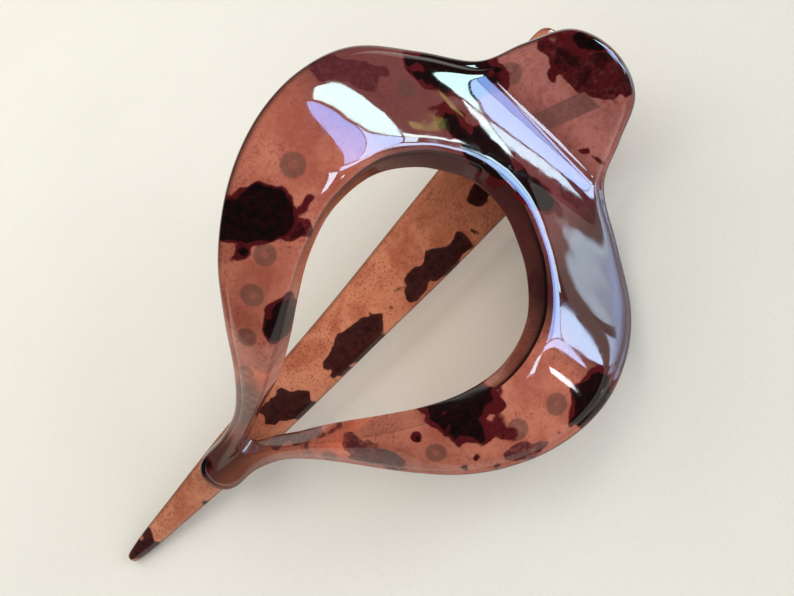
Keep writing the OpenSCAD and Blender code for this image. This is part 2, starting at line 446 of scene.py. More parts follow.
def math_node(tree, operation, a, b=0.0):
    """Result of a Math node on two sockets or numbers"""
    node = add_node(tree, "ShaderNodeMath", operation=operation)
    feed(tree, node.inputs[0], a)
    feed(tree, node.inputs[1], b)
    return node.outputs[0]


def times(tree, a, b):
    """Two sockets or numbers multiplied"""
    return math_node(tree, "MULTIPLY", a, b)


def mix_colour(tree, factor, a, b):
    """Mixes two colours by a factor"""
    node = add_node(tree, "ShaderNodeMix", data_type="RGBA", blend_type="MIX")
    feed(tree, node.inputs[0], factor)
    feed(tree, node.inputs[6], a)
    feed(tree, node.inputs[7], b)
    return node.outputs[2]


def spread(tree, value, low, high, to_low=0.0, to_high=1.0, smooth=True):
    """Spreads a value between two limits over another range"""
    node = add_node(tree, "ShaderNodeMapRange")
    node.interpolation_type = "SMOOTHSTEP" if smooth else "LINEAR"
    feed(tree, node.inputs["Value"], value)
    node.inputs["From Min"].default_value = low
    node.inputs["From Max"].default_value = high
    node.inputs["To Min"].default_value = to_low
    node.inputs["To Max"].default_value = to_high
    return node.outputs["Result"]


def noise(tree, place, scale, detail=3.0, roughness=0.5, distortion=0.0):
    """Value of a Noise Texture at a place in millimetres"""
    node = add_node(tree, "ShaderNodeTexNoise")
    feed(tree, node.inputs["Vector"], place)
    feed(tree, node.inputs["Scale"], scale)
    node.inputs["Detail"].default_value = detail
    node.inputs["Roughness"].default_value = roughness
    node.inputs["Distortion"].default_value = distortion
    return node.outputs["Fac"]


def split(tree, vector):
    """X, Y and Z parts of a vector"""
    node = add_node(tree, "ShaderNodeSeparateXYZ")
    feed(tree, node.inputs[0], vector)
    return node.outputs


def stretched(tree, place, scale):
    """A place with its parts scaled, which draws out a pattern where a scale is small"""
    node = add_node(tree, "ShaderNodeMapping")
    feed(tree, node.inputs["Vector"], place)
    node.inputs["Scale"].default_value = scale
    return node.outputs["Vector"]


def new_group(name, inputs, outputs):
    """Empty shader node group. Inputs and outputs: name and kind of each socket"""
    tree = bpy.data.node_groups.new(name, "ShaderNodeTree")
    for socket_name, kind in inputs:
        tree.interface.new_socket(socket_name, in_out="INPUT", socket_type=kind)
    for socket_name, kind in outputs:
        tree.interface.new_socket(socket_name, in_out="OUTPUT", socket_type=kind)
    return tree, add_node(tree, "NodeGroupInput").outputs, add_node(tree, "NodeGroupOutput").inputs


def place_group(tree, group, **values):
    """Places a shared effect in a tree with its own values; underscores stand for spaces"""
    node = add_node(tree, "ShaderNodeGroup", label=group)
    node.node_tree = bpy.data.node_groups[group]
    for name, value in values.items():
        feed(tree, node.inputs[name.replace("_", " ")], value)
    return node.outputs


def group_resin_cloud():
    """Slow drift between a light and a deep resin colour, with fine mottling and red grain"""
    tree, given, out = new_group(
        "Resin Cloud",
        [
            ("Place", VECTOR), ("Cloud Scale", FLOAT), ("Light Resin", COLOUR), ("Deep Resin", COLOUR),
            ("Red Grain", COLOUR),
        ],
        [("Resin", COLOUR), ("Mottle", FLOAT)],
    )
    cloud = noise(tree, given["Place"], given["Cloud Scale"], 4.0, 0.55, 1.5)
    mottle = noise(tree, given["Place"], 1.1, 5.0, 0.6, 0.4)
    drift = spread(tree, cloud, 0.32, 0.68)
    mixed = math_node(tree, "ADD", drift, spread(tree, mottle, 0.3, 0.7, -0.16, 0.16))
    clamped = spread(tree, mixed, 0.0, 1.0, smooth=False)
    resin = mix_colour(tree, clamped, given["Light Resin"], given["Deep Resin"])
    grain = noise(tree, given["Place"], 2.3, 3.0, 0.6)
    cluster = noise(tree, given["Place"], 0.16, 3.0, 0.6, 0.6)
    thick = spread(tree, cluster, 0.42, 0.64, 0.14, 0.6)
    share = times(tree, spread(tree, grain, 0.46, 0.72), thick)
    feed(tree, out["Resin"], mix_colour(tree, share, resin, given["Red Grain"]))
    feed(tree, out["Mottle"], mottle)
    return tree


def group_ragged_patch():
    """Patch with a ragged edge, from the distance inside it in millimetres"""
    tree, given, out = new_group(
        "Ragged Patch",
        [("Reach", FLOAT), ("Place", VECTOR), ("Raggedness", FLOAT)],
        [("Patch", FLOAT), ("Core", FLOAT)],
    )
    wide = noise(tree, given["Place"], 0.36, 0.0, 0.5, 0.5)
    fine = noise(tree, given["Place"], 1.3, 1.0, 0.5)
    wide_swing = spread(tree, wide, 0.25, 0.75, -1.0, 1.0, False)
    fine_swing = spread(tree, fine, 0.25, 0.75, -0.12, 0.12, False)
    swing = math_node(tree, "ADD", wide_swing, fine_swing)
    moved = math_node(tree, "ADD", given["Reach"], times(tree, swing, given["Raggedness"]))
    thin = spread(tree, noise(tree, given["Place"], 0.4, 0.0, 0.5, 0.4), 0.4, 0.62, 0.05, 0.75)
    feed(tree, out["Patch"], spread(tree, moved, -0.16, 0.12))
    feed(tree, out["Core"], spread(tree, math_node(tree, "SUBTRACT", moved, thin), 0.0, 0.45))
    return tree


def group_fine_speckle():
    """Sparse dark grains in the resin"""
    tree, given, out = new_group(
        "Fine Speckle",
        [("Place", VECTOR), ("Grain Scale", FLOAT), ("Share", FLOAT)],
        [("Speckle", FLOAT)],
    )
    grain = add_node(tree, "ShaderNodeTexVoronoi", feature="F1")
    feed(tree, grain.inputs["Vector"], given["Place"])
    feed(tree, grain.inputs["Scale"], given["Grain Scale"])
    grain.inputs["Randomness"].default_value = 1.0
    chosen = math_node(tree, "LESS_THAN", grain.outputs["Color"], given["Share"])
    dot = spread(tree, grain.outputs["Distance"], 0.12, 0.42, 1.0, 0.0)
    feed(tree, out["Speckle"], times(tree, chosen, dot))
    return tree


def group_ejector_mark():
    """Ring and disc of a round mark at one place on the level clip"""
    tree, given, out = new_group(
        "Ejector Mark",
        [("Place", VECTOR), ("Centre", VECTOR), ("Radius", FLOAT)],
        [("Ring", FLOAT), ("Disc", FLOAT)],
    )
    offset = add_node(tree, "ShaderNodeVectorMath", operation="SUBTRACT")
    feed(tree, offset.inputs[0], given["Place"])
    feed(tree, offset.inputs[1], given["Centre"])
    parts = split(tree, offset.outputs[0])
    flat = add_node(tree, "ShaderNodeCombineXYZ")
    feed(tree, flat.inputs["X"], parts["X"])
    feed(tree, flat.inputs["Y"], parts["Y"])
    length = add_node(tree, "ShaderNodeVectorMath", operation="LENGTH")
    feed(tree, length.inputs[0], flat.outputs[0])
    share = math_node(tree, "DIVIDE", length.outputs["Value"], given["Radius"])
    off_edge = math_node(tree, "ABSOLUTE", math_node(tree, "SUBTRACT", share, 0.88))
    disc = spread(tree, share, 0.82, 1.04, 1.0, 0.0)
    centre = spread(tree, share, 0.2, 0.42, 0.35, 0.0)
    feed(tree, out["Ring"], spread(tree, off_edge, 0.03, 0.16, 1.0, 0.0))
    feed(tree, out["Disc"], math_node(tree, "SUBTRACT", disc, centre))
    return tree


def group_handled_gloss():
    """Roughness and height of a glossy moulding with faint rubbing marks"""
    tree, given, out = new_group(
        "Handled Gloss",
        [("Place", VECTOR), ("Base Roughness", FLOAT), ("Rubbing", FLOAT)],
        [("Roughness", FLOAT), ("Height", FLOAT)],
    )
    smudge = noise(tree, given["Place"], 0.25, 4.0, 0.6, 0.8)
    lines = noise(tree, stretched(tree, given["Place"], (0.35, 4.0, 0.35)), 1.6, 2.0, 0.6)
    waves = noise(tree, given["Place"], 0.45, 0.0, 0.4)
    rubbed = times(tree, spread(tree, smudge, 0.45, 0.75), given["Rubbing"])
    feed(tree, out["Roughness"], math_node(tree, "ADD", given["Base Roughness"], rubbed))
    fine = times(tree, spread(tree, lines, 0.6, 0.76), 0.05)
    feed(tree, out["Height"], math_node(tree, "ADD", waves, fine))
    return tree


def build_groups():
    """Shared effects, built once"""
    makers = (
        group_resin_cloud, group_ragged_patch, group_fine_speckle, group_ejector_mark,
        group_handled_gloss,
    )
    for maker in makers:
        group = maker()
        group.use_fake_user = True


def new_material(name):
    """Material with a Principled BSDF, and the place on the level clip in millimetres"""
    material = bpy.data.materials.new(name)
    material.use_nodes = True
    tree = material.node_tree
    tree.nodes.clear()
    shader = add_node(tree, "ShaderNodeBsdfPrincipled")
    output = add_node(tree, "ShaderNodeOutputMaterial")
    tree.links.new(shader.outputs["BSDF"], output.inputs["Surface"])
    coordinates = add_node(tree, "ShaderNodeTexCoord")
    level = add_node(tree, "ShaderNodeMapping", vector_type="TEXTURE")
    feed(tree, level.inputs["Vector"], coordinates.outputs["Object"])
    level.inputs["Location"].default_value = REST_MOVE
    level.inputs["Rotation"].default_value = REST_TURN
    level.inputs["Scale"].default_value = (MM, MM, MM)
    return material, tree, shader, level.outputs["Vector"]


def attribute(tree, name):
    """Value of a named attribute of the piece"""
    node = add_node(tree, "ShaderNodeAttribute", attribute_type="GEOMETRY", attribute_name=name)
    return node.outputs["Fac"]


def bump(tree, shader, height, strength, distance):
    """Feeds a height through a Bump node to the shader's normal"""
    node = add_node(tree, "ShaderNodeBump")
    node.inputs["Strength"].default_value = strength
    node.inputs["Distance"].default_value = distance
    feed(tree, node.inputs["Height"], height)
    feed(tree, shader.inputs["Normal"], node.outputs["Normal"])


def hazy_plastic(shader, haze):
    """Sets what a hazy, translucent moulding has the same all over"""
    shader.inputs["IOR"].default_value = 1.5
    shader.inputs["Subsurface Weight"].default_value = haze
    shader.inputs["Subsurface Radius"].default_value = (1.0, 0.3, 0.2)
    shader.inputs["Subsurface Scale"].default_value = 1.0 * MM


def colour(values):
    """Red, green and blue as an opaque colour"""
    return (*values, 1.0)


def paint_over(tree, base, layers):
    """Lays colours over a base in their order, each by its own share"""
    for share, tone in layers:
        if not isinstance(tone, bpy.types.NodeSocket):
            tone = colour(tone)
        base = mix_colour(tree, share, base, tone)
    return base


def ragged_patch(tree, place, reach, raggedness):
    """Patches and their cores, from the attribute that tells how far inside a point lies"""
    inside = attribute(tree, reach)
    return place_group(tree, "Ragged Patch", Reach=inside, Place=place, Raggedness=raggedness)


def ejector_marks(tree, place):
    """Rings and discs of all the ejector marks together"""
    ring = disc = None
    for along, across, radius in EJECTOR_MARKS:
        centre = (along, across, 0.0)
        mark = place_group(tree, "Ejector Mark", Place=place, Centre=centre, Radius=radius)
        ring = mark["Ring"] if ring is None else math_node(tree, "MAXIMUM", ring, mark["Ring"])
        disc = mark["Disc"] if disc is None else math_node(tree, "MAXIMUM", disc, mark["Disc"])
    return ring, disc


def shadow_of_ears(tree, parts):
    """Painted shade: slanting brown patch where the right ear shows through the tab"""
    middle, crossing, slant = EAR_SHADOW
    reach_along = math_node(tree, "ABSOLUTE", math_node(tree, "SUBTRACT", parts["X"], middle))
    leaning = times(tree, math_node(tree, "SUBTRACT", parts["X"], crossing), slant)
    reach_across = math_node(tree, "ABSOLUTE", math_node(tree, "ADD", parts["Y"], leaning))
    inside_along = spread(tree, reach_along, *EAR_SHADOW_ALONG, 1.0, 0.0)
    inside_across = spread(tree, reach_across, *EAR_SHADOW_ACROSS, 1.0, 0.0)
    return times(tree, inside_along, inside_across)


def shell_plastic(look):
    """Rose-brown tortoise-look plastic of the shell"""
    material, tree, shader, place = new_material("Rose Tortoise Plastic")
    parts = split(tree, place)
    resin = place_group(
        tree, "Resin Cloud", Place=place, Cloud_Scale=0.085,
        Light_Resin=colour(look.shell_light), Deep_Resin=colour(look.shell_deep),
        Red_Grain=colour(look.red_grain),
    )
    mottle = resin["Mottle"]
    tint = spread(tree, mottle, 0.35, 0.65)
    # Shares of the painted shade on the opening's wall and along the outer rims
    wall = attribute(tree, "wall")
    rim_shade = attribute(tree, "rim_shade")

    on_stem = spread(tree, parts["X"], *STEM_ALONG, 0.9, 0.0)
    stem_side = spread(tree, parts["Y"], *STEM_ACROSS)
    stem_tone = mix_colour(tree, stem_side, colour(look.stem_amber), colour(look.stem))
    # Painted shade towards the neck, where the dark underside, prong and ears lie behind the resin; it
    # fades over the tab's root and also sets how thick the red grain lies
    past_lobes = spread(tree, parts["X"], *NECK_ALONG)
    off_tab = spread(tree, parts["X"], *TAB_ROOT_ALONG, 1.0, 0.3)
    towards_neck = times(tree, past_lobes, off_tab)
    # Painted shade on the right lobe's outer side, in the wall's tone
    lobe_shade_along = spread(tree, parts["X"], *LOBE_SHADE_ALONG)
    lobe_shade_across = spread(tree, parts["Y"], *LOBE_SHADE_ACROSS, 0.75, 0.0)
    on_tab = spread(tree, parts["X"], *TAB_ALONG)
    rosiness = spread(tree, tint, 0.0, 1.0, 0.85, 0.35)

    share = spread(tree, towards_neck, 0.0, 1.0, 0.1, 0.4, False)
    grains = place_group(tree, "Fine Speckle", Place=place, Grain_Scale=2.2, Share=share)
    stain = ragged_patch(tree, place, "stain_reach", 0.7)
    stain_depth = spread(tree, mottle, 0.3, 0.6, 0.6, 0.95)
    ring, disc = ejector_marks(tree, place)
    # Ejector marks' discs, and the painted shade of the right ear seen through the tab
    marks_and_ear_shadow = math_node(tree, "MAXIMUM", disc, shadow_of_ears(tree, parts))
    washed = spread(tree, attribute(tree, "grey_reach"), -0.8, 1.6)
    washed = times(tree, washed, spread(tree, mottle, 0.3, 0.6, 0.6, 0.9))
    grey_marks_and_ear_shadow = math_node(tree, "MAXIMUM", times(tree, marks_and_ear_shadow, 0.62), washed)
    red = ragged_patch(tree, place, "red_reach", 0.7)
    red_depth = spread(tree, mottle, 0.3, 0.55, 0.86, 1.0)
    core_depth = spread(tree, noise(tree, place, 0.3, 3.0, 0.55, 0.5), 0.4, 0.62, 0.0, 0.85)

    # Painted shade on the opening's wall, deepening along the clip
    wall_depth = spread(tree, parts["X"], *WALL_SHADE_ALONG, 0.3, 0.95)
    # Near-black painted shade on the right side of the opening's wall, just under its crest
    right_side = spread(tree, parts["Y"], *CREST_SHADE_ACROSS, 0.9, 0.2)
    crest_shade_mask = times(tree, spread(tree, wall, 0.66, 0.9), right_side)
    crest_shade = times(tree, crest_shade_mask, spread(tree, parts["X"], *CREST_SHADE_ALONG))
    dark = ragged_patch(tree, place, "dark_reach", 0.6)
    core = mix_colour(tree, tint, colour(look.near_black), colour(look.deep_red))
    # Laid on in order: the resin's own tones, grain, stains, marks and patches, with painted shade towards
    # the neck, on the right lobe's outer side, where the right ear shows through the tab, on the opening's
    # wall, under its crest on the right and along the outer rims
    base = paint_over(tree, resin["Resin"], (
        (on_stem, stem_tone),
        (times(tree, towards_neck, 0.88), look.neck_shade),
        (times(tree, lobe_shade_along, lobe_shade_across), look.wall),
        (times(tree, on_tab, rosiness), look.tab_rose),
        (times(tree, grains["Speckle"], 0.55), look.burgundy),
        (times(tree, stain["Patch"], stain_depth), look.stain),
        (grey_marks_and_ear_shadow, look.washed_grey_and_ear_shadow),
        (times(tree, red["Patch"], red_depth), look.burgundy),
        (times(tree, red["Core"], core_depth), look.deep_red),
        (times(tree, wall, wall_depth), look.wall),
        (crest_shade, look.near_black),
        (spread(tree, rim_shade, 0.2, 0.9, 0.0, 0.92), look.rim_shade),
        (dark["Patch"], look.burgundy),
        (dark["Core"], core),
    ))

    gloss = place_group(tree, "Handled Gloss", Place=place, Base_Roughness=0.035, Rubbing=0.07)
    rougher = math_node(tree, "ADD", gloss["Roughness"], times(tree, wall, 0.06))
    rougher = math_node(tree, "ADD", rougher, times(tree, on_stem, 0.14))
    pressed = math_node(tree, "SUBTRACT", gloss["Height"], times(tree, ring, 0.12))
    feed(tree, shader.inputs["Base Color"], base)
    feed(tree, shader.inputs["Roughness"], rougher)
    bump(tree, shader, pressed, 0.5, 0.018 * MM)
    hazy_plastic(shader, 0.1)
    return material


def prong_plastic(look):
    """Warmer, finely speckled tortoise-look plastic of the prong"""
    material, tree, shader, place = new_material("Amber Tortoise Plastic")
    resin = place_group(
        tree, "Resin Cloud", Place=place, Cloud_Scale=0.12,
        Light_Resin=colour(look.prong_light), Deep_Resin=colour(look.prong_deep),
        Red_Grain=colour(look.red_grain),
    )
    share = spread(tree, attribute(tree, "red_reach"), -1.8, 1.2, 0.34, 0.85)
    grains = place_group(tree, "Fine Speckle", Place=place, Grain_Scale=2.1, Share=share)
    # Painted shade along the prong's sides
    rim_shade = spread(tree, attribute(tree, "rim_shade"), 0.0, 1.0)
    dark = ragged_patch(tree, place, "dark_reach", 0.8)
    core_depth = spread(tree, resin["Mottle"], 0.25, 0.9)
    core = mix_colour(tree, core_depth, colour(look.maroon), colour(look.deep_red))
    base = paint_over(tree, resin["Resin"], (
        (times(tree, grains["Speckle"], 0.62), look.red_grain),
        (times(tree, rim_shade, 0.6), look.rim_shade),
        (dark["Patch"], look.maroon),
        (dark["Core"], core),
    ))
    gloss = place_group(tree, "Handled Gloss", Place=place, Base_Roughness=0.06, Rubbing=0.1)
    feed(tree, shader.inputs["Base Color"], base)
    feed(tree, shader.inputs["Roughness"], gloss["Roughness"])
    bump(tree, shader, gloss["Height"], 0.5, 0.06 * MM)
    hazy_plastic(shader, 0.16)
    return material


def hinge_steel(name, tone, roughness):
    """Drawn steel wire or bar, with faint lines round it"""
    material, tree, shader, place = new_material(name)
    lines = noise(tree, stretched(tree, place, (3.0, 0.4, 3.0)), 2.2, 3.0, 0.6)
    worn = noise(tree, place, 0.8, 4.0, 0.55)
    shade = spread(tree, worn, 0.3, 0.7)
    rougher = spread(tree, lines, 0.3, 0.7, roughness, roughness + 0.16)
    steel = mix_colour(tree, shade, colour(tone), colour(WORN_STEEL))
    feed(tree, shader.inputs["Base Color"], steel)
    feed(tree, shader.inputs["Roughness"], rougher)
    shader.inputs["Metallic"].default_value = 1.0
    bump(tree, shader, lines, 0.3, 0.03 * MM)
    return material


def stone_worktop(tone):
    """Plain pale floor with faint grain in it, polished beside the right lobe"""
    material, tree, shader, place = new_material("Pale Worktop")
    cloud = noise(tree, place, 0.02, 3.0, 0.5)
    grains = place_group(tree, "Fine Speckle", Place=place, Grain_Scale=2.3, Share=0.3)
    shade = tuple(0.97 * v for v in tone)
    pale = mix_colour(tree, spread(tree, cloud, 0.3, 0.7), colour(tone), colour(shade))
    speckled = paint_over(tree, pale, [(times(tree, grains["Speckle"], 0.22), GRAIN_TONE)])
    feed(tree, shader.inputs["Base Color"], speckled)
    feed(tree, shader.inputs["Roughness"], spread(tree, cloud, 0.3, 0.7, 0.5, 0.56))
    shader.inputs["Specular IOR Level"].default_value = 0.0
    from_lobe = add_node(tree, "ShaderNodeVectorMath", operation="DISTANCE")
    feed(tree, from_lobe.inputs[0], place)
    from_lobe.inputs[1].default_value = (rest_matrix().inverted() @ Vector(POLISHED_PLACE)) / MM
    polish = spread(tree, from_lobe.outputs["Value"], *POLISH_FADES, 0.85, 0.0)
    feed(tree, shader.inputs["Coat Weight"], polish)
    shader.inputs["Coat Roughness"].default_value = 0.1
    return material


# Shell's outline and the marks stored on its points


def rib_section(u, shell):
    """One rib's outline in level millimetres, with each point's share of painted shade on the wall and
    along the rim
    """
    inner, outer = rib(u)
    half = shell.rim_thickness / MM / 2
    width = (outer - inner).length
    way = (outer - inner) / width
    lean = min(shell.wall_lean / MM, 0.3 * (width - 2 * half))
    a = inner + half * way
    b = outer - half * way
    points = []

    def flattening(distance):
        """Rises from nothing at an edge to one on the flat part of the top face"""
        return 1 - math.exp(-distance / (shell.crown_roll / MM))

    def face_point(start, share, side):
        """Point of the top or under face, at a share of the way to the outer edge"""
        p = start + share * (b - start)
        across = (b - start).length
        swell = 0.0
        if side > 0:
            groove_starts = unit_clamp((p.x - GROOVE_ENDS[0]) / GROOVE_FADES[0])
            groove_stops = unit_clamp((GROOVE_ENDS[1] - p.x) / GROOVE_FADES[1])
            into_stem = groove_starts * groove_stops
            into_side = math.exp(-p.y * p.y / GROOVE_WIDTH_SQUARED)
            groove = shell.groove_depth / MM * into_side * into_stem
            fold = shell.fold_height / MM * math.exp(-((p.x - FOLD_MIDDLE) / FOLD_WIDTH) ** 2)
            across_neck = soft_ramp(p.x, *RIDGE_RISE) - soft_ramp(p.x, *RIDGE_FALL)
            ridge = shell.ridge_height / MM * across_neck
            swollen = shell.crown_height / MM + fold + ridge
            crown = swollen * flattening(share * across) * flattening((1 - share) * across)
            swell = crown - groove
        return surface_point(p) + side * (half + swell) * surface_normal(p)

    def edge_point(p, outward, angle, fullness, back):
        """Point round an edge, by its angle from level, leaning back towards the top"""
        n = surface_normal(p)
        e = Vector((outward.x, outward.y, -n.x / n.z * outward.x)).normalized()
        up = fuller(math.sin(angle), fullness)
        out = half * fuller(math.cos(angle), fullness) - back * (1 + up) / 2
        return surface_point(p) + out * e + half * up * n

    crest = a + (lean - half * fuller(math.cos(WALL_TOP), WALL_FULLNESS)) * way
    for k in range(TOP_POINTS):
        share = (1 - math.cos(math.pi * k / (TOP_POINTS - 1))) / 2
        points.append((face_point(crest, share, 1), 0.0, 0.0))
    # The outer edge's points carry the share of painted shade along the rim
    for k in range(1, EDGE_POINTS + 1):
        angle = math.pi * (0.5 - k / (EDGE_POINTS + 1))
        points.append((edge_point(b, way, angle, RIM_FULLNESS, 0.0), 0.0, math.cos(angle)))
    for k in range(UNDER_POINTS - 1, -1, -1):
        points.append((face_point(a, k / (UNDER_POINTS - 1), -1), 0.0, 0.0))
    # The wall's points carry the share of painted shade on the wall, fullest at its crest
    for k in range(1, WALL_POINTS + 1):
        angle = (WALL_TOP + math.pi / 2) * k / (WALL_POINTS + 1) - math.pi / 2
        wall = WALL_SHADE_FOOT + (1 - WALL_SHADE_FOOT) * (k / WALL_POINTS) ** 2
        points.append((edge_point(a, -way, angle, WALL_FULLNESS, lean), wall, 0.0))
    return points


def patch_reach(place, patches):
    """Distance in millimetres from a place into the nearest patch, below nothing outside it"""
    best = FAR_OUTSIDE
    for along, across, half_length, half_width, turn in patches:
        angle = math.radians(turn)
        dx = place.x - along
        dy = place.y - across
        u = (dx * math.cos(angle) + dy * math.sin(angle)) / half_length
        v = (dy * math.cos(angle) - dx * math.sin(angle)) / half_width
        best = max(best, (1 - math.hypot(u, v)) * min(half_length, half_width))
    return best


def store_patches(piece, level):
    """Writes how far inside the shell's patches each point of a piece lies"""
    tables = {
        "dark_reach": SHELL_DARK, "red_reach": SHELL_RED, "stain_reach": SHELL_STAINS,
        "grey_reach": SHELL_GREY,
    }
    for name, patches in tables.items():
        store_values(piece, name, [patch_reach(v, patches) for v in level])


def store_values(piece, name, values):
    """Writes one value for each of a piece's points as a named attribute"""
    layer = piece.data.attributes.new(name, "FLOAT", "POINT")
    layer.data.foreach_set("value", values)


# Sizes and colours that a user would change


class HairClipShell(bpy.types.PropertyGroup):
    """Sizes of the loop shell"""

    rim_thickness: bpy.props.FloatProperty(
        name="Rim Thickness", description="Thickness of the shell at its rims",
        default=3.4 * MM, unit="LENGTH",
    )
    crown_height: bpy.props.FloatProperty(
        name="Crown Height", description="Extra thickness under the flat part of the top face",
        default=0.5 * MM, unit="LENGTH",
    )
    crown_roll: bpy.props.FloatProperty(
        name="Crown Roll", description="How fast the top face flattens, away from its edges",
        default=0.7 * MM, unit="LENGTH",
    )
    fold_height: bpy.props.FloatProperty(
        name="Fold Height", description="Height of the soft fold between neck and tab",
        default=0.45 * MM, unit="LENGTH",
    )
    ridge_height: bpy.props.FloatProperty(
        name="Ridge Height", description="Height of the low ridge across the neck",
        default=0.48 * MM, unit="LENGTH",
    )
    wall_lean: bpy.props.FloatProperty(
        name="Wall Lean", description="How far the opening's wall leans back",
        default=1.0 * MM, unit="LENGTH",
    )
    groove_depth: bpy.props.FloatProperty(
        name="Groove Depth", description="Depth of the groove along the stem",
        default=1.0 * MM, unit="LENGTH",
    )
    rings_per_rib: bpy.props.IntProperty(
        name="Rings per Rib", description="Rings of the mesh between two ribs",
        default=8, min=2, max=8,
    )


class HairClipHinge(bpy.types.PropertyGroup):
    """Sizes of the hinge ears"""

    ear_radius: bpy.props.FloatProperty(
        name="Ear Radius", description="Radius of the round end of an ear",
        default=1.8 * MM, unit="LENGTH",
    )
    bore_radius: bpy.props.FloatProperty(
        name="Bore Radius", description="Radius of the pin's bore in an ear",
        default=0.82 * MM, unit="LENGTH",
    )
    ear_edge: bpy.props.FloatProperty(
        name="Ear Edge", description="Rounding along an ear's edges",
        default=0.15 * MM, unit="LENGTH",
    )


class HairClipLook(bpy.types.PropertyGroup):
    """Colours of the plastics"""

    shell_light: bpy.props.FloatVectorProperty(
        name="Shell Light", description="Palest resin in the shell",
        default=(0.46, 0.155, 0.10), subtype="COLOR",
    )
    shell_deep: bpy.props.FloatVectorProperty(
        name="Shell Deep", description="Deepest resin in the shell",
        default=(0.31, 0.08, 0.052), subtype="COLOR",
    )
    prong_light: bpy.props.FloatVectorProperty(
        name="Prong Light", description="Palest resin in the prong",
        default=(0.60, 0.25, 0.145), subtype="COLOR",
    )
    prong_deep: bpy.props.FloatVectorProperty(
        name="Prong Deep", description="Deepest resin in the prong",
        default=(0.42, 0.135, 0.075), subtype="COLOR",
    )
    red_grain: bpy.props.FloatVectorProperty(
        name="Red Grain", description="Fine grain in the resin",
        default=(0.13, 0.022, 0.016), subtype="COLOR",
    )
    # Painted shade towards the neck, where dark parts lie behind the resin
    neck_shade: bpy.props.FloatVectorProperty(
        name="Neck", description="Purple-brown resin of the neck",
        default=(0.105, 0.028, 0.031), subtype="COLOR",
    )
    tab_rose: bpy.props.FloatVectorProperty(
        name="Tab Rose", description="Rosy resin of the thumb tab",
        default=(0.36, 0.135, 0.125), subtype="COLOR",
    )
    stem: bpy.props.FloatVectorProperty(
        name="Stem", description="Deep brown resin of the stem",
        default=(0.040, 0.014, 0.012), subtype="COLOR",
    )
    stem_amber: bpy.props.FloatVectorProperty(
        name="Stem Amber", description="Warmer resin on the stem's right side",
        default=(0.14, 0.042, 0.024), subtype="COLOR",
    )
    # Painted shade on the opening's wall and on the right lobe's outer side
    wall: bpy.props.FloatVectorProperty(
        name="Opening Wall", description="Resin on the opening's wall",
        default=(0.022, 0.006, 0.005), subtype="COLOR",
    )
    # Painted shade along the shell's outer rims and the prong's sides
    rim_shade: bpy.props.FloatVectorProperty(
        name="Outer Rim", description="Resin along the outer rims",
        default=(0.028, 0.009, 0.008), subtype="COLOR",
    )
    stain: bpy.props.FloatVectorProperty(
        name="Stain", description="Grainy purple-brown stains",
        default=(0.07, 0.012, 0.016), subtype="COLOR",
    )
    # Also the painted shade of the right ear seen through the tab
    washed_grey_and_ear_shadow: bpy.props.FloatVectorProperty(
        name="Washed Grey", description="Grey-brown marks and washed-out places",
        default=(0.085, 0.045, 0.037), subtype="COLOR",
    )
    maroon: bpy.props.FloatVectorProperty(
        name="Maroon", description="Patches in the prong",
        default=(0.05, 0.014, 0.012), subtype="COLOR",
    )
    burgundy: bpy.props.FloatVectorProperty(
        name="Burgundy", description="Edges of the dark patches",
        default=(0.07, 0.005, 0.007), subtype="COLOR",
    )
    deep_red: bpy.props.FloatVectorProperty(
        name="Deep Red", description="Glow inside the dark patches",
        default=(0.012, 0.001, 0.0015), subtype="COLOR",
    )
    # Also the near-black painted shade under the wall's crest on the right side
    near_black: bpy.props.FloatVectorProperty(
        name="Near Black", description="Cores of the dark patches",
        default=(0.0015, 0.0006, 0.001), subtype="COLOR",
    )


class HairClipStage(bpy.types.PropertyGroup):
    """Floor, light and camera"""

    camera_place: bpy.props.FloatVectorProperty(
        name="Camera Place", description="Where the camera stands",
        default=(12.32 * MM, -48.14 * MM, 110.15 * MM), subtype="TRANSLATION", unit="LENGTH",
    )
    camera_turn: bpy.props.FloatVectorProperty(
        name="Camera Turn", description="How the camera is turned",
        default=(math.radians(20.349), math.radians(22.054), math.radians(-41.692)), subtype="EULER",
    )
    camera_lens: bpy.props.FloatProperty(
        name="Camera Lens", description="Focal length of the camera in millimetres",
        default=31.738,
    )
    floor_tone: bpy.props.FloatVectorProperty(
        name="Floor Tone", description="Colour of the pale worktop",
        default=(0.745, 0.73, 0.68), subtype="COLOR",
    )
    pane_brightness: bpy.props.FloatProperty(
        name="Pane Brightness", description="Brightness of the window's panes",
        default=22.0,
    )
    cast_brightness: bpy.props.FloatProperty(
        name="Cast Brightness", description="Brightness of the light that the window casts",
        default=6.0,
    )
    soft_brightness: bpy.props.FloatProperty(
        name="Soft Light Brightness", description="Brightness of the large soft light",
        default=1.75,
    )
    glow_brightness: bpy.props.FloatProperty(
        name="Glow Brightness", description="Brightness of the warm glow inside the loop's opening",
        default=0.6,
    )
    room_light: bpy.props.FloatProperty(
        name="Room Light", description="Strength of the even light all round",
        default=0.72,
    )
    room_gleam: bpy.props.FloatProperty(
        name="Room Gleam", description="Strength of the even light as it mirrors in gloss",
        default=0.06,
    )


# Operators that make the pieces and the stage


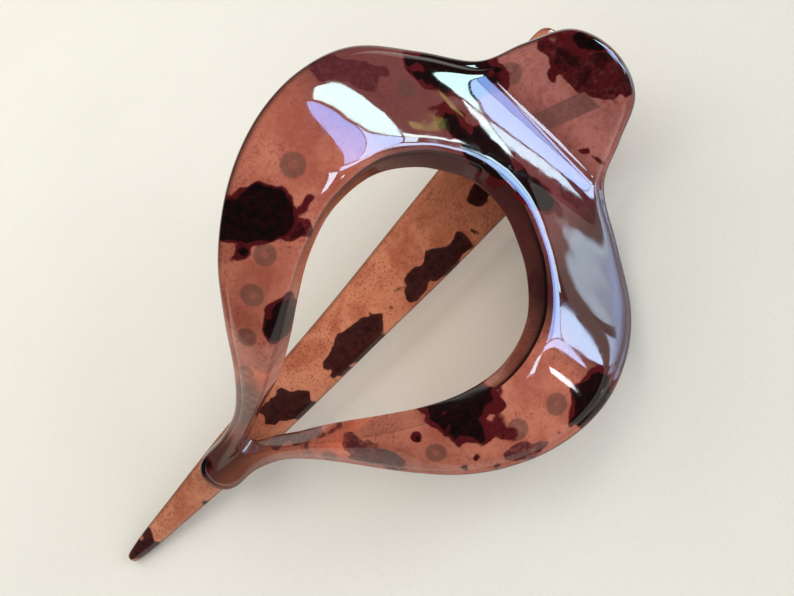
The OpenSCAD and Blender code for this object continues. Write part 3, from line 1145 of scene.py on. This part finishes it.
class OBJECT_OT_hair_clip_shell(bpy.types.Operator):
    """Model the open loop shell with its stem, neck and thumb tab"""

    bl_idname = "object.hair_clip_shell"
    bl_label = "Loop Shell"
    bl_options = {"REGISTER", "UNDO"}

    def execute(self, context):
        shell = context.scene.hair_clip_shell
        rings = 2 * (len(RIBS) - 1) * shell.rings_per_rib
        outline = len(rib_section(0.0, shell))
        clear_selection()
        bpy.ops.mesh.primitive_torus_add(
            major_segments=rings, minor_segments=outline,
            major_radius=30 * MM, minor_radius=3 * MM, generate_uvs=True,
        )
        loop = bpy.context.object
        points = []
        for i in range(rings):
            points += rib_section(i / shell.rings_per_rib, shell)
        if len(points) != len(loop.data.vertices):
            raise RuntimeError("the loop's ring of points doesn't match its ribs")
        flat = [v * MM for point, wall, rim_shade in points for v in point]
        loop.data.vertices.foreach_set("co", flat)
        # Shares of painted shade on the opening's wall and along the outer rims
        store_values(loop, "wall", [wall for point, wall, rim_shade in points])
        store_values(loop, "rim_shade", [rim_shade for point, wall, rim_shade in points])
        face_outwards(loop)
        apply_modifier(loop, "SUBSURF", levels=1, render_levels=1)
        store_patches(loop, [v.co / MM for v in loop.data.vertices])
        pick(loop)
        bpy.ops.object.shade_smooth()
        lay_down(loop)
        material = shell_plastic(context.scene.hair_clip_look)
        finish_piece(loop, "loop_shell", "shell", "shell_plastic", material, "top_shell")
        return {"FINISHED"}


class OBJECT_OT_hair_clip_ears(bpy.types.Operator):
    """Model the two bored ears that carry the hinge pin under the neck"""

    bl_idname = "object.hair_clip_ears"
    bl_label = "Hinge Ears"
    bl_options = {"REGISTER", "UNDO"}

    def execute(self, context):
        hinge = context.scene.hair_clip_hinge
        middle = (EAR_SPAN[0] + EAR_SPAN[1]) / 2
        thick = EAR_SPAN[1] - EAR_SPAN[0]
        on_axis = tuple_mm(HINGE[0], middle, HINGE[1])
        across = (math.radians(90), 0, 0)
        clear_selection()
        along, up, long, high = EAR_BLOCK
        bpy.ops.mesh.primitive_cube_add(
            size=1, location=tuple_mm(along, middle, up), scale=tuple_mm(long, thick, high)
        )
        ear = bpy.context.object
        bpy.ops.object.transform_apply(location=True, rotation=True, scale=True)
        for place, outward in EAR_CUTS:
            edit(ear, action="SELECT")
            bpy.ops.mesh.bisect(
                plane_co=tuple_mm(*place), plane_no=outward, use_fill=True, clear_outer=True
            )
            close_edit(ear)
        rounds = (
            (hinge.ear_radius, thick * MM, "UNION"),
            (hinge.bore_radius, 8 * MM, "DIFFERENCE"),
        )
        for radius, depth, operation in rounds:
            clear_selection()
            bpy.ops.mesh.primitive_cylinder_add(
                vertices=48, radius=radius, depth=depth, location=on_axis, rotation=across
            )
            cutter = bpy.context.object
            bpy.ops.object.transform_apply(location=True, rotation=True, scale=True)
            apply_modifier(ear, "BOOLEAN", object=cutter, operation=operation, solver="EXACT")
            bpy.data.objects.remove(cutter)
        apply_modifier(
            ear, "BEVEL", width=hinge.ear_edge, segments=2,
            limit_method="ANGLE", angle_limit=math.radians(40),
        )
        pick(ear)
        bpy.ops.object.duplicate()
        other = bpy.context.object
        edit(other, action="SELECT")
        bpy.ops.transform.resize(value=(1, -1, 1), center_override=(0, 0, 0))
        close_edit(other)
        pick(ear, other)
        bpy.ops.object.join()
        face_outwards(ear)
        pick(ear)
        bpy.ops.object.shade_smooth_by_angle(angle=math.radians(35))
        level = [Vector(v.co) / MM for v in ear.data.vertices]
        # The ears carry no painted shade of wall or rim
        store_values(ear, "wall", [0.0 for v in level])
        store_values(ear, "rim_shade", [0.0 for v in level])
        store_patches(ear, level)
        lay_down(ear)
        material = bpy.data.materials["Rose Tortoise Plastic"]
        finish_piece(ear, "hinge_ears", "shell", "shell_plastic", material, "top_shell")
        return {"FINISHED"}


def copy_of_node(node):
    """Merged copy of a CAD node's mesh, as an object of its own"""
    clear_selection()
    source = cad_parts[node]
    piece = bpy.data.objects.new(node + "_copy", source.data.copy())
    bpy.context.scene.collection.objects.link(piece)
    pick(piece)
    bpy.ops.mesh.customdata_custom_splitnormals_clear()
    edit(piece, action="SELECT")
    bpy.ops.mesh.remove_doubles(threshold=0.002 * MM)
    bpy.ops.mesh.tris_convert_to_quads(
        face_threshold=math.radians(40), shape_threshold=math.radians(60)
    )
    close_edit(piece)
    return piece


def prong_rim_shade(place):
    """Share of the painted shade on the prong's side at a level place, from nothing inside to one on the
    side
    """
    half_width = along_table(PRONG_WIDTH, 1, place.x)
    return unit_clamp(1 - (half_width - abs(place.y)) / PRONG_RIM_SHADE_WIDTH)


class OBJECT_OT_hair_clip_prong(bpy.types.Operator):
    """Model the tapering prong with its lever end and hinge knuckles"""

    bl_idname = "object.hair_clip_prong"
    bl_label = "Prong"
    bl_options = {"REGISTER", "UNDO"}

    def execute(self, context):
        prong = copy_of_node("prong")
        back = rest_matrix().inverted()
        start, end, inside = KNUCKLES
        mesh = edit(prong, "EDGE")
        for edge in mesh.edges:
            places = [back @ v.co / MM for v in edge.verts]
            at_hinge = all(start < p.x < end and abs(p.y) > inside for p in places)
            edge.select = at_hinge and edge.is_manifold and edge.calc_face_angle() > math.radians(35)
        bmesh.update_edit_mesh(prong.data)
        bpy.ops.transform.edge_crease(value=1.0)
        close_edit(prong)
        apply_modifier(prong, "SUBSURF", levels=2, render_levels=2)
        pick(prong)
        bpy.ops.object.shade_smooth_by_angle(angle=math.radians(45))
        level = [back @ v.co / MM for v in prong.data.vertices]
        store_values(prong, "dark_reach", [patch_reach(v, PRONG_DARK) for v in level])
        store_values(prong, "red_reach", [patch_reach(v, PRONG_RED) for v in level])
        # Painted shade along the prong's sides
        store_values(prong, "rim_shade", [prong_rim_shade(v) for v in level])
        material = prong_plastic(context.scene.hair_clip_look)
        finish_piece(prong, "prong_bar", "prong", "prong_plastic", material, "prong")
        return {"FINISHED"}


class OBJECT_OT_hair_clip_steel(bpy.types.Operator):
    """Give the hinge pin its steel and model the torsion spring round it"""

    bl_idname = "object.hair_clip_steel"
    bl_label = "Pin and Spring"
    bl_options = {"REGISTER", "UNDO"}

    def execute(self, context):
        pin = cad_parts["hinge_pin"]
        pin.data.materials.clear()
        pin.data.materials.append(hinge_steel("Pin Steel", (0.56, 0.55, 0.53), 0.22))
        spring = copy_of_node("torsion_spring")
        apply_modifier(spring, "SUBSURF", levels=1, render_levels=1)
        pick(spring)
        bpy.ops.object.shade_smooth_by_angle(angle=math.radians(50))
        material = hinge_steel("Spring Steel", (0.48, 0.47, 0.46), 0.28)
        finish_piece(spring, "spring_wire", None, "spring_steel", material, "torsion_spring")
        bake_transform(spring)
        return {"FINISHED"}


class OBJECT_OT_hair_clip_stage(bpy.types.Operator):
    """Set the floor, the soft light and the camera"""

    bl_idname = "object.hair_clip_stage"
    bl_label = "Stage"
    bl_options = {"REGISTER", "UNDO"}

    def execute(self, context):
        stage = context.scene.hair_clip_stage
        clear_selection()
        bpy.ops.mesh.primitive_plane_add(size=FLOOR_SIZE, location=(0, 0, 0))
        floor = bpy.context.object
        floor.name = "worktop"
        floor.data.materials.append(stone_worktop(stage.floor_tone))
        self.add_room_light(context, stage)
        self.add_window(stage)
        self.add_soft_light(stage)
        self.add_glow(stage)
        bpy.ops.object.camera_add(location=stage.camera_place, rotation=stage.camera_turn)
        camera = bpy.context.object
        camera.data.lens = stage.camera_lens
        camera.data.sensor_width = 36
        camera.data.clip_start = 1 * MM
        context.scene.camera = camera
        context.scene.view_settings.view_transform = "Standard"
        return {"FINISHED"}

    def add_room_light(self, context, stage):
        """Even light all round, fainter where it mirrors in gloss"""
        world = context.scene.world or bpy.data.worlds.new("Room")
        context.scene.world = world
        world.use_nodes = True
        tree = world.node_tree
        background = tree.nodes["Background"]
        background.inputs["Color"].default_value = colour(ROOM_TONE)
        ray = add_node(tree, "ShaderNodeLightPath").outputs["Is Glossy Ray"]
        strength = spread(tree, ray, 0.0, 1.0, stage.room_light, stage.room_gleam, False)
        feed(tree, background.inputs["Strength"], strength)

    def add_lamp(self, place, turn, wide, high, tint, brightness):
        """One evenly bright rectangle of light that the camera doesn't see"""
        bpy.ops.object.light_add(type="AREA", location=place, rotation=turn)
        lamp = bpy.context.object
        lamp.data.shape = "RECTANGLE"
        lamp.data.size = wide
        lamp.data.size_y = high
        lamp.data.color = tint
        lamp.data.energy = brightness * math.pi * wide * high
        lamp.visible_camera = False
        return lamp

    def add_pane(self, turn, distance, left, up, wide, high, tint, brightness):
        """A lamp on a plane that faces the clip, placed and sized for each metre of distance"""
        turned = Euler(turn, "XYZ").to_matrix()
        place = turned @ Vector((left, up, 1.0)) * distance
        return self.add_lamp(
            place, turned.to_euler(), wide * distance, high * distance, tint, brightness
        )

    def add_window(self, stage):
        """A window beyond the lever's end: panes seen in gloss, and a lamp for what it casts"""
        for left, up, wide, high, tint, share in WINDOW_PANES:
            bright = stage.pane_brightness * share
            pane = self.add_pane(WINDOW_TURN, WINDOW_DISTANCE, left, up, wide, high, tint, bright)
            pane.visible_diffuse = False
        cast = self.add_pane(
            WINDOW_TURN, WINDOW_DISTANCE + CAST_BEHIND, *CAST_LIGHT, CAST_TONE,
            stage.cast_brightness,
        )
        cast.visible_glossy = False

    def add_soft_light(self, stage):
        """A large, soft and warm light high over the clip's left side, kept out of the gloss"""
        lamp = self.add_pane(
            SOFT_TURN, SOFT_DISTANCE, 0, 0, SOFT_SIZE, SOFT_SIZE, SOFT_TONE,
            stage.soft_brightness,
        )
        lamp.visible_glossy = False

    def add_glow(self, stage):
        """The little warm light that the resin lets through to what lies under the opening"""
        wide, high = tuple_mm(*GLOW_SIZE)
        lamp = self.add_lamp(
            at_rest(*GLOW_PLACE), REST_TURN, wide, high, GLOW_TONE, stage.glow_brightness
        )
        lamp.visible_glossy = False


# Panel, registering and the run


class VIEW3D_PT_hair_clip(bpy.types.Panel):
    """Buttons and sizes of the hair clip in the 3D view's sidebar"""

    bl_label = "Hair Clip"
    bl_space_type = "VIEW_3D"
    bl_region_type = "UI"
    bl_category = "Hair Clip"

    def draw(self, context):
        for operator in OPERATORS:
            self.layout.operator(operator.bl_idname)
        for settings in SETTINGS:
            group = getattr(context.scene, settings)
            for name in group.bl_rna.properties.keys():
                if name not in ("rna_type", "name"):
                    self.layout.prop(group, name)


SETTINGS = {
    "hair_clip_shell": HairClipShell,
    "hair_clip_hinge": HairClipHinge,
    "hair_clip_look": HairClipLook,
    "hair_clip_stage": HairClipStage,
}
OPERATORS = (
    OBJECT_OT_hair_clip_shell,
    OBJECT_OT_hair_clip_ears,
    OBJECT_OT_hair_clip_prong,
    OBJECT_OT_hair_clip_steel,
    OBJECT_OT_hair_clip_stage,
)


def register():
    """Registers the classes and hangs the settings on the scene"""
    for cls in (*SETTINGS.values(), *OPERATORS, VIEW3D_PT_hair_clip):
        bpy.utils.register_class(cls)
    for name, cls in SETTINGS.items():
        setattr(bpy.types.Scene, name, bpy.props.PointerProperty(type=cls))


def unregister():
    """Takes the settings off the scene and the classes out again"""
    for name in SETTINGS:
        delattr(bpy.types.Scene, name)
    for cls in reversed((*SETTINGS.values(), *OPERATORS, VIEW3D_PT_hair_clip)):
        bpy.utils.unregister_class(cls)


def main():
    """Makes all the pieces and the stage"""
    register()
    build_groups()
    bpy.ops.object.hair_clip_shell()
    bpy.ops.object.hair_clip_ears()
    bpy.ops.object.hair_clip_prong()
    bpy.ops.object.hair_clip_steel()
    bpy.ops.object.hair_clip_stage()


if __name__ == "__main__":
    main()
